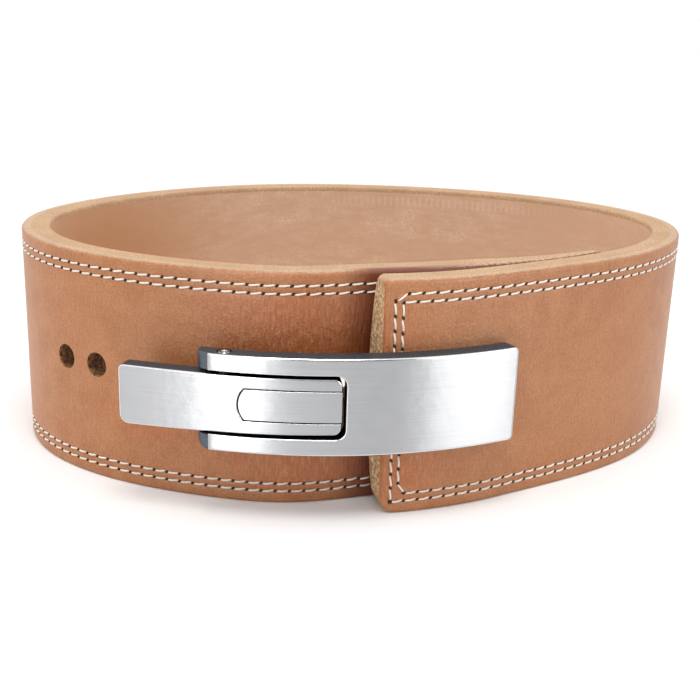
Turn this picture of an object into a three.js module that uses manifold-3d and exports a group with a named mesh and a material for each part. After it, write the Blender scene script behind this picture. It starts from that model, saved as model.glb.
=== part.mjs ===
// Weightlifting belt with a lever buckle, closed, standing on its lower edge.
// Millimetres, +Z up, the buckle faces -Y. The origin is under the middle of the belt's box.

import * as THREE from 'three';
import { mergeVertices } from 'three/addons/utils/BufferGeometryUtils.js';
import Module from 'manifold-3d';

// Leather strap
const strapWidth = 100;
const leatherThickness = 13;
const edgeBevel = 1.2;
const flapLowerCorner = 6.5;
const flapUpperCorner = 2.5;
const flapEndBevel = 2.2;
const tailCorner = 3;
const tailThickness = 4.5;
const tailTaper = 75;
const lapLength = 124;

// Loop that the closed strap makes, over its outer face
const loopHalfWidth = 160;
const loopHalfDepth = 115;

// Flap: it is bent to one radius where the buckle sits and lifts off the tail towards its end
const seatRadius = 164;
const seatMargin = 5;
const flapLift = 4.5;
const liftHold = 20;
const liftLength = 90;

// Adjusting holes, numbered from the first peg of the hook bar, in a row a little above the buckle's middle
const holeRadius = 5.3;
const holePitch = 18.8;
const holesPastFirstPeg = 6;
const holesBeforeFirstPeg = 5;
const holeRowRise = 1.2;

// Base plate, lengths measured along its outer face from the flap's end
const buckleHeight = 50.4;
const plateWidth = 41;
const plateDepth = 8;
const plateOverFlap = 59;
const forkBeyondFlap = 77;
const slotSetback = 16;
const slotHeight = 26.4;
const slotCorner = 4;
const plateCorner = 2.5;
const prongUpperCorner = 1;
const prongLowerCorner = 5.5;
const prongNose = 7.5;
const plateBevel = 1.2;

// Lever: bent like the plate up to the fork pin, nearly straight beyond it. It is leverTaper taller
// at its tip than between the prongs.
const leverSideGap = 1.3;
const leverTaper = 1.6;
const leverEndGap = 1.5;
const leverRecess = 0.8;
const leverDepth = 7;
const handleLength = 44;
const handleRadius = 500;
const handleUpperCorner = 2.5;
const handleLowerCorner = 4;
const armCorner = 3.2;
const leverBevel = 1;

// Hook bar between the lever's arms, and its pegs
const hookBarHeight = 12.8;
const hookBarLength = 43;
const hookBarNose = 8;
const noseFlatShare = 0.06;
const hookBarGap = 0.4;
const hookBarBevel = 0.3;
const hookBarDepth = 7;
const pegRadius = 3.8;
const pegInLeather = 10;
const pegSetback = 8;
const pegCount = 2;

// Pins and screws
const forkPinRadius = 2.75;
const forkPinFromEnd = 11.5;
const hookPinRadius = 2;
const hookPinFromEnd = 4;
const screwShankRadius = 2.5;
const screwHeadRadius = 7;
const screwHeadThickness = 2.2;
const screwInPlate = 4.5;
const screwFromFlapEnd = 15;
const screwSpacing = 32;

// Clearance between pieces that touch, and how far a cut starts outside a face that has another close by
const fitGap = 0.3;
const cutLead = fitGap / 2;

// Steps of the faceted surfaces
const sharpEdge = 0.01;
const sameSpot = 0.001;
const lengthSamples = 2000;
const searchStep = 0.1;
const strapStep = 8.5;
const metalStep = 6;
const cornerSteps = 3;
const roundSides = 20;
const cutOverrun = 5;

// Outer face of the closed strap from the end of the seat round to the left of the buckle,
// as shares of the loop's half width and half depth
const loopShape = [
  { across: 0.640, deep: -0.632 },
  { across: 0.828, deep: -0.400 },
  { across: 0.955, deep: -0.100 },
  { across: 0.990, deep: 0.200 },
  { across: 0.900, deep: 0.530 },
  { across: 0.640, deep: 0.835 },
  { across: 0.330, deep: 0.985 },
  { across: -0.010, deep: 1.020 },
  { across: -0.340, deep: 0.940 },
  { across: -0.640, deep: 0.715 },
  { across: -0.890, deep: 0.345 },
  { across: -1.000, deep: -0.060 },
  { across: -0.912, deep: -0.510 },
  { across: -0.670, deep: -0.800 },
  { across: -0.390, deep: -0.938 },
  { across: -0.150, deep: -0.965 },
];

// Centre of the seat's arc and the flap's end on it
const seatCentreShare = { across: -0.152, deep: -1.072 };
const flapEndAngle = THREE.MathUtils.degToRad(12);
const seatPoints = 5;
const lapPoints = 7;

const wasm = await Module();
wasm.setup();

// Solids and booleans

function toSolid(geometry) {
  const plain = geometry.index ? geometry.toNonIndexed() : geometry.clone();
  plain.deleteAttribute('normal');
  plain.deleteAttribute('uv');
  const merged = mergeVertices(plain, sameSpot);
  return new wasm.Manifold(new wasm.Mesh({
    numProp: 3,
    vertProperties: new Float32Array(merged.attributes.position.array),
    triVerts: new Uint32Array(merged.index.array),
  }));
}

function toGeometry(solid) {
  const mesh = solid.getMesh();
  const geometry = new THREE.BufferGeometry();
  geometry.setAttribute('position', new THREE.BufferAttribute(mesh.vertProperties, 3));
  geometry.setIndex(new THREE.BufferAttribute(mesh.triVerts, 1));
  geometry.computeVertexNormals();
  return geometry;
}

function cut(solid, tools) {
  return tools.reduce((rest, tool) => rest.subtract(toSolid(tool)), solid);
}

// Closed body through rings of points, each ring with as many points as the others
function loft(rings) {
  const sides = rings[0].length;
  const position = rings.flat().flatMap((point) => [point.x, point.y, point.z]);
  const index = [];
  for (let ring = 0; ring + 1 < rings.length; ring += 1) {
    for (let side = 0; side < sides; side += 1) {
      const next = (side + 1) % sides;
      const a = ring * sides + side;
      const b = ring * sides + next;
      const c = a + sides;
      const d = b + sides;
      index.push(a, b, d, a, d, c);
    }
  }
  const last = (rings.length - 1) * sides;
  for (let side = 1; side + 1 < sides; side += 1) {
    index.push(0, side + 1, side);
    index.push(last, last + side, last + side + 1);
  }
  const geometry = new THREE.BufferGeometry();
  geometry.setAttribute('position', new THREE.Float32BufferAttribute(position, 3));
  geometry.setIndex(index);
  geometry.computeVertexNormals();
  return geometry;
}

// Paths in plan. Each gives the point at a length and the unit vectors along it and towards the wearer.

// Natural cubic spline through points, with bends as smooth as a strip of leather makes
function splinePath(points) {
  const count = points.length;
  const knots = [0];
  for (let i = 1; i < count; i += 1) knots.push(knots[i - 1] + points[i].distanceTo(points[i - 1]));
  const span = (i) => knots[i + 1] - knots[i];
  const bends = ['x', 'y'].map((axis) => {
    const diagonal = [1];
    const right = [0];
    for (let i = 1; i + 1 < count; i += 1) {
      const slopeAfter = (points[i + 1][axis] - points[i][axis]) / span(i);
      const slopeBefore = (points[i][axis] - points[i - 1][axis]) / span(i - 1);
      const factor = i > 1 ? span(i - 1) / diagonal[i - 1] : 0;
      diagonal.push(2 * (span(i - 1) + span(i)) - (i > 1 ? factor * span(i - 1) : 0));
      right.push(6 * (slopeAfter - slopeBefore) - factor * right[i - 1]);
    }
    const bend = new Array(count).fill(0);
    for (let i = count - 2; i > 0; i -= 1) bend[i] = (right[i] - span(i) * bend[i + 1]) / diagonal[i];
    return bend;
  });
  const curve = new THREE.Curve();
  curve.getPoint = (share) => {
    const knot = share * knots[count - 1];
    let i = 0;
    while (i + 2 < count && knots[i + 1] < knot) i += 1;
    const before = knots[i + 1] - knot;
    const after = knot - knots[i];
    const [x, y] = ['x', 'y'].map((axis, k) => (
      (bends[k][i] * before ** 3 + bends[k][i + 1] * after ** 3) / (6 * span(i))
      + (points[i][axis] / span(i) - bends[k][i] * span(i) / 6) * before
      + (points[i + 1][axis] / span(i) - bends[k][i + 1] * span(i) / 6) * after
    ));
    return new THREE.Vector3(x, y, 0);
  };
  curve.arcLengthDivisions = lengthSamples;
  const length = curve.getLength();
  return {
    length,
    at(distance) {
      const share = THREE.MathUtils.clamp(distance / length, 0, 1);
      const along = curve.getTangentAt(share);
      return { point: curve.getPointAt(share), inward: new THREE.Vector3(-along.y, along.x, 0) };
    },
  };
}

// Circle round a centre; length 0 is at an angle from the front, growing towards +X
function arcPath(centre, radius, startAngle) {
  return {
    at(distance) {
      const angle = startAngle + distance / radius;
      const inward = new THREE.Vector3(-Math.sin(angle), Math.cos(angle), 0);
      return { point: centre.clone().addScaledVector(inward, -radius), inward };
    },
  };
}

// A path that leaves another one at length 0, towards the negative side, on a radius of its own
function pathWithTail(path, tailRadius) {
  const { point, inward } = path.at(0);
  const tailCentre = point.clone().addScaledVector(inward, tailRadius);
  const tailPath = arcPath(tailCentre, tailRadius, Math.atan2(-inward.x, inward.y));
  return { at: (distance) => (distance < 0 ? tailPath : path).at(distance) };
}

// Point beside a path: depth counts from the path towards the wearer
function beside(path, distance, depth, height) {
  const { point, inward } = path.at(distance);
  return new THREE.Vector3(point.x + inward.x * depth, point.y + inward.y * depth, height);
}

// Outlines seen from the front: how far an edge steps back at a distance from an end

function roundCorner(radius, distance) {
  if (distance >= radius) return 0;
  return radius - Math.sqrt(radius ** 2 - (radius - distance) ** 2);
}

function roundNose(radius, halfHeight, distance) {
  const reach = Math.min(distance, radius);
  return Math.max(0, halfHeight - Math.sqrt(radius ** 2 - (radius - reach) ** 2));
}

// Lengths from one end to the other, closer together in the stretches that are rounded
function stations(from, to, step, startRound, endRound) {
  const list = [];
  for (let i = 0; i < cornerSteps; i += 1) {
    const share = 1 - Math.cos((Math.PI / 2) * (i / cornerSteps));
    list.push(from + startRound * share);
  }
  const begin = from + startRound;
  const finish = to - endRound;
  const count = Math.max(2, Math.ceil((finish - begin) / step));
  for (let i = 0; i <= count; i += 1) list.push(begin + (finish - begin) * (i / count));
  for (let i = cornerSteps - 1; i >= 0; i -= 1) {
    const share = 1 - Math.cos((Math.PI / 2) * (i / cornerSteps));
    list.push(to - endRound * share);
  }
  return list.filter((value, i) => i === 0 || value - list[i - 1] > sameSpot);
}

// Bar bent along a path. shape(distance) gives low, high, front, back and the bevels of both faces.
function bentBar(path, lengths, shape) {
  return loft(lengths.map((distance) => {
    const { low, high, front, back, frontBevel, backBevel } = shape(distance);
    const ring = [
      [front + frontBevel, low],
      [back - backBevel, low],
      [back, low + backBevel],
      [back, high - backBevel],
      [back - backBevel, high],
      [front + frontBevel, high],
      [front, high - frontBevel],
      [front, low + frontBevel],
    ];
    return ring.map(([depth, height]) => beside(path, distance, depth, height));
  }));
}

function roundRod(radius, length) {
  return new THREE.CylinderGeometry(radius, radius, length, roundSides);
}

// Rod whose axis points towards the wearer, from one depth beside a path to another
function inwardRod(path, distance, height, radius, fromDepth, toDepth) {
  const { inward } = path.at(distance);
  const turn = new THREE.Quaternion().setFromUnitVectors(new THREE.Vector3(0, 1, 0), inward);
  const middle = beside(path, distance, (fromDepth + toDepth) / 2, height);
  return roundRod(radius, toDepth - fromDepth).applyQuaternion(turn).translate(middle.x, middle.y, middle.z);
}

// Upright rod through the buckle
function uprightRod(path, distance, depth, radius, length) {
  const middle = beside(path, distance, depth, buckleHeight);
  return roundRod(radius, length).rotateX(Math.PI / 2).translate(middle.x, middle.y, middle.z);
}

// Strap: its outer face runs from the flap's end, over the seat, round the loop and under the flap

const seatCentre = new THREE.Vector3(
  seatCentreShare.across * loopHalfWidth,
  seatCentreShare.deep * loopHalfDepth + seatRadius,
  0,
);
const plateRadius = seatRadius + fitGap + plateDepth;
const seatPath = arcPath(seatCentre, seatRadius, flapEndAngle);
const seatLength = (plateOverFlap / plateRadius) * seatRadius + seatMargin;

function strapPath() {
  const seat = [];
  for (let i = 0; i < seatPoints; i += 1) seat.push(seatPath.at(seatLength * (i / (seatPoints - 1))).point);
  const loop = loopShape.map(({ across, deep }) => (
    new THREE.Vector3(across * loopHalfWidth, deep * loopHalfDepth, 0)
  ));
  const outside = splinePath([...seat, ...loop]);
  const lap = [];
  for (let i = 0; i < lapPoints; i += 1) {
    const distance = lapLength * (i / (lapPoints - 1));
    const lift = flapLift * (1 - THREE.MathUtils.smoothstep(distance, liftHold, liftLength));
    lap.push(beside(outside, distance, leatherThickness + fitGap + lift, 0));
  }
  return splinePath([...seat, ...loop, ...lap]);
}

const strapFace = strapPath();

function strapShape(distance) {
  const toTail = strapFace.length - distance;
  const taper = Math.min(1, toTail / tailTaper);
  const tailInset = roundCorner(tailCorner, toTail);
  return {
    low: roundCorner(flapLowerCorner, distance) + tailInset,
    high: strapWidth - roundCorner(flapUpperCorner, distance) - tailInset,
    front: roundCorner(flapEndBevel, distance),
    back: tailThickness + (leatherThickness - tailThickness) * taper,
    frontBevel: edgeBevel,
    backBevel: edgeBevel,
  };
}

// Length on the strap, past the loop, that lies behind a point of the buckle
function lengthBehind(point) {
  let best = { distance: 0, gap: Infinity };
  const start = strapFace.length - lapLength - loopHalfWidth;
  for (let distance = start; distance < strapFace.length; distance += searchStep) {
    const gap = strapFace.at(distance).point.distanceTo(point);
    if (gap < best.gap) best = { distance, gap };
  }
  return best.distance;
}

// Buckle: the plate's outer face is the path that all its pieces follow, length 0 at the flap's end

const holeRowHeight = buckleHeight + holeRowRise;
const plateFace = arcPath(seatCentre, plateRadius, flapEndAngle);
const plateLow = buckleHeight - plateWidth / 2;
const plateHigh = buckleHeight + plateWidth / 2;
const slotEnd = -slotSetback;
const leverEnd = slotEnd - leverEndGap;
const forkPinAt = forkPinFromEnd - forkBeyondFlap;
const hookPinAt = leverEnd - hookPinFromEnd;
const pinDepth = leverRecess + leverDepth / 2;
const leverHeight = slotHeight - 2 * leverSideGap;
const screwLengths = [screwFromFlapEnd, screwFromFlapEnd + screwSpacing];

function plateShape(distance) {
  const toEnd = plateOverFlap - distance;
  const fromProng = distance + forkBeyondFlap;
  const nose = Math.max(0, 1 - fromProng / prongNose);
  const endInset = roundCorner(plateCorner, toEnd);
  return {
    low: plateLow + endInset + roundCorner(prongLowerCorner, fromProng),
    high: plateHigh - endInset - roundCorner(prongUpperCorner, fromProng),
    front: roundCorner(plateBevel, toEnd) + (plateDepth - 2 * plateBevel) * (1 - Math.sqrt(1 - nose ** 2)),
    back: plateDepth,
    frontBevel: plateBevel,
    backBevel: sharpEdge,
  };
}

// Fork slot: open at the left, round in its two inner corners
function forkSlot() {
  const from = -forkBeyondFlap - cutOverrun;
  const lengths = stations(from, slotEnd, metalStep, 0, slotCorner);
  return bentBar(plateFace, lengths, (distance) => {
    const inset = roundCorner(slotCorner, slotEnd - distance);
    return {
      low: buckleHeight - slotHeight / 2 + inset,
      high: buckleHeight + slotHeight / 2 - inset,
      front: -cutOverrun,
      back: plateDepth + cutOverrun,
      frontBevel: sharpEdge,
      backBevel: sharpEdge,
    };
  });
}

function basePlate() {
  const lengths = stations(-forkBeyondFlap, plateOverFlap, metalStep, prongNose, plateCorner);
  const pinHole = uprightRod(plateFace, forkPinAt, pinDepth, forkPinRadius + fitGap, plateWidth + cutOverrun);
  const screwHoles = screwLengths.map((distance) => inwardRod(
    plateFace, distance, buckleHeight, screwShankRadius + fitGap,
    plateDepth - screwInPlate - fitGap, plateDepth + cutOverrun,
  ));
  return cut(toSolid(bentBar(plateFace, lengths, plateShape)), [forkSlot(), pinHole, ...screwHoles]);
}

// Lever path: length 0 at the fork pin
const forkPinAngle = flapEndAngle + forkPinAt / plateRadius;
const leverFace = pathWithTail(arcPath(seatCentre, plateRadius, forkPinAngle), handleRadius);
const leverTip = -handleLength;
const leverInner = leverEnd - forkPinAt;

function leverShape(distance) {
  const toTip = distance - leverTip;
  const toEnd = leverInner - distance;
  const armInset = roundCorner(armCorner, toEnd);
  const drop = (leverTaper * toEnd) / (leverInner - leverTip);
  return {
    low: buckleHeight - leverHeight / 2 - drop + roundCorner(handleLowerCorner, toTip) + armInset,
    high: buckleHeight + leverHeight / 2 - roundCorner(handleUpperCorner, toTip) - armInset,
    front: leverRecess + roundCorner(leverBevel, toTip),
    back: leverRecess + leverDepth,
    frontBevel: leverBevel,
    backBevel: sharpEdge,
  };
}

// Bar or cut between the arms: its left end is an arc across the whole height
function hookBarBody(grow, front, back, endAt) {
  const tip = leverInner - hookBarLength - grow;
  const halfHeight = hookBarHeight / 2 + grow;
  const nose = hookBarNose + grow;
  const noseLength = nose - Math.sqrt(nose ** 2 - halfHeight ** 2);
  const lengths = stations(tip + noseLength * noseFlatShare, endAt, metalStep, noseLength, 0);
  return bentBar(leverFace, lengths, (distance) => {
    const inset = roundNose(nose, halfHeight, distance - tip);
    return {
      low: buckleHeight - halfHeight + inset,
      high: buckleHeight + halfHeight - inset,
      front,
      back,
      frontBevel: hookBarBevel,
      backBevel: hookBarBevel,
    };
  });
}

function lever() {
  const lengths = stations(leverTip, leverInner, metalStep, handleLowerCorner, armCorner);
  const barSlot = hookBarBody(
    hookBarGap, leverRecess - cutOverrun, leverRecess + leverDepth + cutOverrun, leverInner + cutOverrun,
  );
  const forkPinHole = uprightRod(leverFace, 0, pinDepth, forkPinRadius + fitGap, leverHeight + cutOverrun);
  const hookPinHole = uprightRod(
    plateFace, hookPinAt, pinDepth, hookPinRadius + fitGap, leverHeight + cutOverrun,
  );
  return cut(toSolid(bentBar(leverFace, lengths, leverShape)), [barSlot, forkPinHole, hookPinHole]);
}

// Pegs stand square to the leather, in neighbouring holes
const firstPegLength = lengthBehind(plateFace.at(hookPinAt - pegSetback).point);
const pegLengths = Array.from({ length: pegCount }, (_, i) => firstPegLength - i * holePitch);

function hookBar() {
  const body = toSolid(hookBarBody(0, leverRecess, leverRecess + hookBarDepth, leverInner));
  const pinHole = uprightRod(plateFace, hookPinAt, pinDepth, hookPinRadius + fitGap, leverHeight);
  const pegged = pegLengths.reduce((bar, distance) => {
    const { point, inward } = strapFace.at(distance);
    const toPlate = plateRadius - leverRecess - hookBarDepth / 2;
    const radial = point.clone().sub(seatCentre);
    const along = radial.dot(inward);
    const rise = -along - Math.sqrt(along ** 2 - radial.lengthSq() + toPlate ** 2);
    const peg = inwardRod(strapFace, distance, holeRowHeight, pegRadius, rise, pegInLeather);
    return bar.add(toSolid(peg));
  }, body);
  return cut(pegged, [pinHole]);
}

function screw(distance) {
  const headFrom = plateDepth + fitGap + leatherThickness - screwHeadThickness - fitGap;
  const length = headFrom - (plateDepth - screwInPlate);
  const profile = [
    [0, 0],
    [screwShankRadius, 0],
    [screwShankRadius, length],
    [screwHeadRadius, length],
    [screwHeadRadius, length + screwHeadThickness],
    [0, length + screwHeadThickness],
  ].map(([radius, height]) => new THREE.Vector2(radius, height));
  const { inward } = plateFace.at(distance);
  const turn = new THREE.Quaternion().setFromUnitVectors(new THREE.Vector3(0, 1, 0), inward);
  const start = beside(plateFace, distance, plateDepth - screwInPlate, buckleHeight);
  const body = new THREE.LatheGeometry(profile, roundSides);
  return toSolid(body.applyQuaternion(turn).translate(start.x, start.y, start.z));
}

function strap() {
  const lengths = stations(0, strapFace.length, strapStep, flapLowerCorner, tailCorner);
  const holes = [];
  for (let i = -holesBeforeFirstPeg; i <= holesPastFirstPeg; i += 1) {
    const distance = firstPegLength - i * holePitch;
    holes.push(inwardRod(
      strapFace, distance, holeRowHeight, holeRadius, -cutLead, leatherThickness + cutOverrun,
    ));
  }
  const leatherFrom = plateDepth + fitGap;
  screwLengths.forEach((distance) => {
    const pocketFrom = leatherFrom + leatherThickness - screwHeadThickness - 2 * fitGap;
    const pocketTo = leatherFrom + leatherThickness + cutLead;
    holes.push(inwardRod(
      plateFace, distance, buckleHeight, screwShankRadius + fitGap, plateDepth, pocketTo,
    ));
    holes.push(inwardRod(
      plateFace, distance, buckleHeight, screwHeadRadius + fitGap, pocketFrom, pocketTo,
    ));
  });
  return cut(toSolid(bentBar(strapFace, lengths, strapShape)), holes);
}

// Materials

const leather = new THREE.MeshStandardMaterial({ color: 0xc48a66, roughness: 0.6, metalness: 0 });
const brushedSteel = new THREE.MeshStandardMaterial({ color: 0xc9cacc, roughness: 0.3, metalness: 1 });
const darkSteel = new THREE.MeshStandardMaterial({ color: 0x8f9296, roughness: 0.35, metalness: 1 });

// Assembly

const belt = new THREE.Group();

function addPiece(name, solid, material) {
  const mesh = new THREE.Mesh(toGeometry(solid), material);
  mesh.name = name;
  belt.add(mesh);
}

addPiece('strap', strap(), leather);
addPiece('base_plate', basePlate(), brushedSteel);
addPiece('lever', lever(), brushedSteel);
addPiece('hook_bar', hookBar(), brushedSteel);
addPiece('fork_pin', toSolid(
  uprightRod(plateFace, forkPinAt, pinDepth, forkPinRadius, plateWidth - 2 * fitGap),
), darkSteel);
addPiece('hook_pin', toSolid(
  uprightRod(plateFace, hookPinAt, pinDepth, hookPinRadius, leverHeight - 2 * fitGap),
), darkSteel);
screwLengths.forEach((distance, i) => addPiece(`screw_${i + 1}`, screw(distance), darkSteel));

// The origin goes under the middle of the whole belt's box
const box = new THREE.Box3().setFromObject(belt);
const middle = box.getCenter(new THREE.Vector3());
belt.position.set(-middle.x, -middle.y, -box.min.z);

const weightliftingBelt = new THREE.Group();
weightliftingBelt.add(belt);

export default weightliftingBelt;
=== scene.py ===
# %% [markdown]
# # A lever-buckle weightlifting belt
# The real belt is a band of vegetable-tanned leather, 100 mm wide and 13 mm thick, that closes with a bent
# steel lever buckle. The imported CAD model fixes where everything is. This script loads it, and then dresses
# it: a finer leather band with its stitching, finer steel pieces, finishes, a camera and studio light.
# Lengths are in millimetres here and become metres when a mesh is made.

# %% Load the frame
import math

import bmesh
import bpy
import numpy as np
from mathutils import Matrix, Vector


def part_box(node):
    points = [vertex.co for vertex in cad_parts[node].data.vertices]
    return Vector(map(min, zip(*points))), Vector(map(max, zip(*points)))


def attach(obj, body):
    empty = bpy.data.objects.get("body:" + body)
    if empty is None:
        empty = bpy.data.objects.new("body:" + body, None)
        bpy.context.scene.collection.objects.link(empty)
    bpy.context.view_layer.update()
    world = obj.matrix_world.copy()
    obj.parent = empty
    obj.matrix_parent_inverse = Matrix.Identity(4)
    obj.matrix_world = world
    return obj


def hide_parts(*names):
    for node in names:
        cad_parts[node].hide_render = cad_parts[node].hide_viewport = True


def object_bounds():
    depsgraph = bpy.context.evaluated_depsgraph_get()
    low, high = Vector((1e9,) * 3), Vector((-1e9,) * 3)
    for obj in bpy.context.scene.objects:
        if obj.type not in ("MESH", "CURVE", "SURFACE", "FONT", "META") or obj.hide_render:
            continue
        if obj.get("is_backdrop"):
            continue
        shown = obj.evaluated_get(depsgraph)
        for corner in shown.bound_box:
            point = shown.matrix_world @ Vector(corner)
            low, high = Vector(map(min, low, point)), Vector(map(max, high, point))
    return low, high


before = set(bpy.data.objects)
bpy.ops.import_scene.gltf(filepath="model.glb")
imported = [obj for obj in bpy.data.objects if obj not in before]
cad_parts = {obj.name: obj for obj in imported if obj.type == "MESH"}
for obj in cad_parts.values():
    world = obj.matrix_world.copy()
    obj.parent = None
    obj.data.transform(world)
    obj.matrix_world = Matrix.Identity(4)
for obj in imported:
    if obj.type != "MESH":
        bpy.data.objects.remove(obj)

MM = 0.001
PER_MM = 1 / MM
cad_box = [list(corner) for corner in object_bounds()]
strap_low, strap_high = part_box("strap")
print("strap box (mm):", [round(v / MM, 1) for v in (*strap_low, *strap_high)])

# %% [markdown]
# ## Camera
# A camera was fitted to the photograph: the two long edges of the strap are 100 mm apart everywhere, which
# fixes how far away, how high and how tilted the lens was. It looks 17 degrees down, from half a metre
# away, and it was rolled a little to one side.

# %% Camera
CAMERA_PLACE = (-2.7, -533.0, 203.4)
CAMERA_DOWN = 17.44
CAMERA_ROLL = 0.0322


def in_scene(name, data):
    """A new object in the scene."""
    made = bpy.data.objects.new(name, data)
    bpy.context.scene.collection.objects.link(made)
    return made


camera_data = bpy.data.cameras.new("camera")
camera_data.lens = 57.14
camera_data.sensor_width = 36.0
camera = in_scene("camera", camera_data)
pitch = Matrix.Rotation(math.radians(90.0 - CAMERA_DOWN), 4, "X")
roll = Matrix.Rotation(CAMERA_ROLL, 4, "Z")
camera.matrix_world = Matrix.Translation(Vector(CAMERA_PLACE) * MM) @ pitch @ roll
bpy.context.scene.camera = camera
print("camera height (mm):", round(camera.location.z / MM, 1))

# %% [markdown]
# ## Helpers
# Node trees need few words here: one function fills the inputs of a node, another adds a node and fills it.
# Colours are written as the hex codes that a screen shows, and one function makes them linear.


# %% Node helpers
def linear(code):
    """An sRGB hex colour as the linear RGBA that Blender's nodes work in."""
    parts = [int(code[i:i + 2], 16) / 255 for i in (1, 3, 5)]
    curved = [c / 12.92 if c <= 0.04045 else ((c + 0.055) / 1.055) ** 2.4 for c in parts]
    return (*curved, 1.0)


def feed(node, inputs):
    """Fills inputs of a node: with a value, a hex colour, a socket, or the first output in use of a node."""
    for socket, value in inputs.items():
        if isinstance(value, bpy.types.Node):
            value = next(output for output in value.outputs if output.enabled)
        if isinstance(value, bpy.types.NodeSocket):
            node.id_data.links.new(value, node.inputs[socket])
        else:
            is_colour = isinstance(value, str) and value.startswith("#")
            node.inputs[socket].default_value = linear(value) if is_colour else value


def add(tree, kind, inputs=None, **settings):
    """Adds a node with its settings and fills its inputs. The names of shader nodes go without ShaderNode."""
    node = tree.nodes.new(kind if "Node" in kind else "ShaderNode" + kind)
    for name, value in settings.items():
        setattr(node, name, value)
    feed(node, inputs or {})
    return node


def principled(name, inputs):
    """A new material with its tree, its Principled node and the places that its noises are read at."""
    material = bpy.data.materials.new(name)
    material.use_nodes = True
    tree = material.node_tree
    shader = tree.nodes["Principled BSDF"]
    feed(shader, inputs)
    return material, tree, shader, add(tree, "TexCoord").outputs["Object"]


# %% Mesh helper
def mesh_object(name, points, faces, uv=None):
    """A smooth mesh object at the origin, with a UV pair for each corner where they are given."""
    mesh = bpy.data.meshes.new(name)
    mesh.from_pydata([tuple(p) for p in points], [], faces)
    if uv is not None:
        layer = mesh.uv_layers.new(name="UVMap")
        layer.data.foreach_set("uv", np.asarray(uv, np.float32).ravel())
    mesh.shade_smooth()
    return in_scene(name, mesh)


# %% [markdown]
# ## Floor and light
# The belt stands on a wide white studio floor, in a white room: the world is white from above and behind, so
# the light is soft and the shadows are faint. Polished and brushed steel show nothing but their
# surroundings. So the world is dark by direction in front, where the camera and its operator stand, and two
# upright softboxes stand left and right of them. They give the buckle its grey and white bands. A third one
# hangs above and draws the bright line along its upper edges. The upright two are there for the steel's sake
# alone: they are hidden from diffuse rays, so the leather keeps the room's even light.

# %% World
ROOM, OPERATOR = 1.13, 0.04
TOWARDS_OPERATOR = (0.21, -0.96, 0.18)
ROOM_BELOW, OPERATOR_ABOVE = 0.72, 0.93
world = bpy.data.worlds.new("studio")
bpy.context.scene.world = world
world.use_nodes = True
sky = world.node_tree
sky.nodes.clear()
direction = add(sky, "TexCoord").outputs["Generated"]
nearness = add(sky, "VectorMath", {0: direction, 1: TOWARDS_OPERATOR}, operation="DOT_PRODUCT")
brightness = add(sky, "MapRange", {
    "Value": nearness.outputs["Value"], "From Min": ROOM_BELOW, "From Max": OPERATOR_ABOVE,
    "To Min": ROOM, "To Max": OPERATOR}, interpolation_type="SMOOTHSTEP")
room = add(sky, "Background", {"Color": "#FFFFFF", "Strength": brightness})
add(sky, "OutputWorld", {"Surface": room})
bpy.context.scene.view_settings.view_transform = "Standard"

# %% Floor
FLOOR_HALF = 60.0
floor = mesh_object("floor", [
    (-FLOOR_HALF, -FLOOR_HALF, 0), (FLOOR_HALF, -FLOOR_HALF, 0), (FLOOR_HALF, FLOOR_HALF, 0),
    (-FLOOR_HALF, FLOOR_HALF, 0)], [(0, 1, 2, 3)])
floor.data.materials.append(principled("matt_white_floor", {"Base Color": "#FAFAFA", "Roughness": 0.8})[0])
floor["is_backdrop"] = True

# %% Softboxes
AIM = Vector((0, -0.05, 0.05))
softboxes = [
    # name, place (m), width and height (m), power (W), whether matt things catch it
    ("left_softbox", (-0.42, -1.10, 0.40), (0.30, 0.75), 7.0, False),
    ("right_softbox", (1.05, -0.80, 0.40), (0.75, 0.75), 8.5, False),
    ("top_softbox", (0.0, -0.40, 1.10), (0.40, 0.40), 4.8, True),
]
for name, place, (width, height), power, on_matt in softboxes:
    lamp = bpy.data.lights.new(name, "AREA")
    lamp.shape = "RECTANGLE"
    lamp.size, lamp.size_y = width, height
    lamp.energy = power
    box = in_scene(name, lamp)
    facing = (Vector(place) - AIM).to_track_quat("Z", "Y").to_matrix().to_4x4()
    box.matrix_world = Matrix.Translation(place) @ facing
    box.visible_camera = False
    box.visible_diffuse = on_matt
print("softboxes:", len(softboxes))

# %% [markdown]
# ## The strap's path
# Seen from above, the closed strap is a spiral: it starts at the flap's end under the buckle, goes once
# round the waist and ends under the flap. A strip of leather bends smoothly, so the path is a natural cubic
# spline through a short table of points, the same ones as in the CAD model. Their places are shares of the
# loop's half width and half depth.

# %% Driving dimensions of the strap
STRAP_WIDTH = 100.0
LEATHER = 13.0
LOOP_HALF = np.array([160.0, 115.0])
SEAT_RADIUS = 164.0
SEAT_CENTRE = np.array([-0.152, -1.072]) * LOOP_HALF + [0.0, SEAT_RADIUS]
FLAP_END_ANGLE = math.radians(12.0)
PLATE_DEPTH = 8.0
PLATE_OVER_FLAP = 59.0
GAP = 0.3
PLATE_RADIUS = SEAT_RADIUS + GAP + PLATE_DEPTH
LAP_LENGTH = 124.0
FLAP_LIFT = 4.5
LIFT_FROM, LIFT_TO = 20.0, 90.0
SEAT_SPARE = 5.0
LOOP_SHAPE = np.array([
    # across, deep
    (0.640, -0.632), (0.828, -0.400), (0.955, -0.100), (0.990, 0.200),
    (0.900, 0.530), (0.640, 0.835), (0.330, 0.985), (-0.010, 1.020),
    (-0.340, 0.940), (-0.640, 0.715), (-0.890, 0.345), (-1.000, -0.060),
    (-0.912, -0.510), (-0.670, -0.800), (-0.390, -0.938), (-0.150, -0.965),
])


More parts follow.
